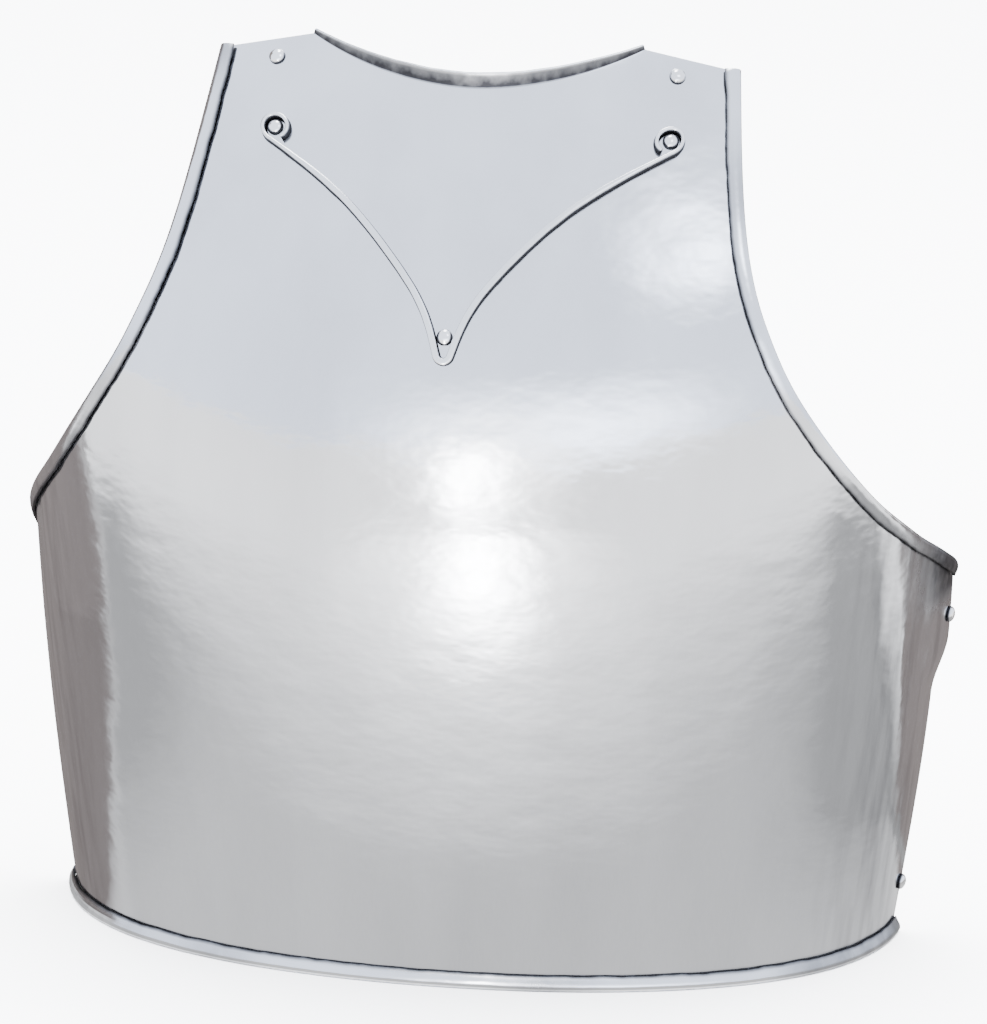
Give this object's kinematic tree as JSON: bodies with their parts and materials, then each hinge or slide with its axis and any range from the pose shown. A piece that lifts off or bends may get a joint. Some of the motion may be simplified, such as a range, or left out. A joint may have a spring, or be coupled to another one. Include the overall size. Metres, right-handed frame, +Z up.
{
  "type": "steel cuirass breastplate",
  "caption": "Polished steel breastplate, raised from one sheet with turned armhole and waist edges, a flared neck lip, a V-shaped stop rib with scrolled ends, and domed rivets.",
  "frame": {"origin": "on the floor under the middle of the bounding box, with the plate standing on its waist rim", "axes": "+Z up from the waist to the neck, +X towards the wearer's left, -Y out of the front"},
  "size_m": [0.3963, 0.1539, 0.3974],
  "materials": {
    "plate_steel": "polished mild steel with fine brush marks, soft broad reflections, darker in the folds",
    "rib_steel": "filed and polished steel strip, dark along its foot",
    "rivet_steel": "bright domed steel rivet heads"
  },
  "bodies": {
    "root": {"breastplate": "plate_steel", "stop_rib": "rib_steel", "rib_rivet": "rivet_steel", "scroll_rivet_left": "rivet_steel", "scroll_rivet_right": "rivet_steel", "shoulder_rivet_left": "rivet_steel", "shoulder_rivet_right": "rivet_steel", "flank_rivet_upper": "rivet_steel", "flank_rivet_lower": "rivet_steel"}
  },
  "joints": []
}
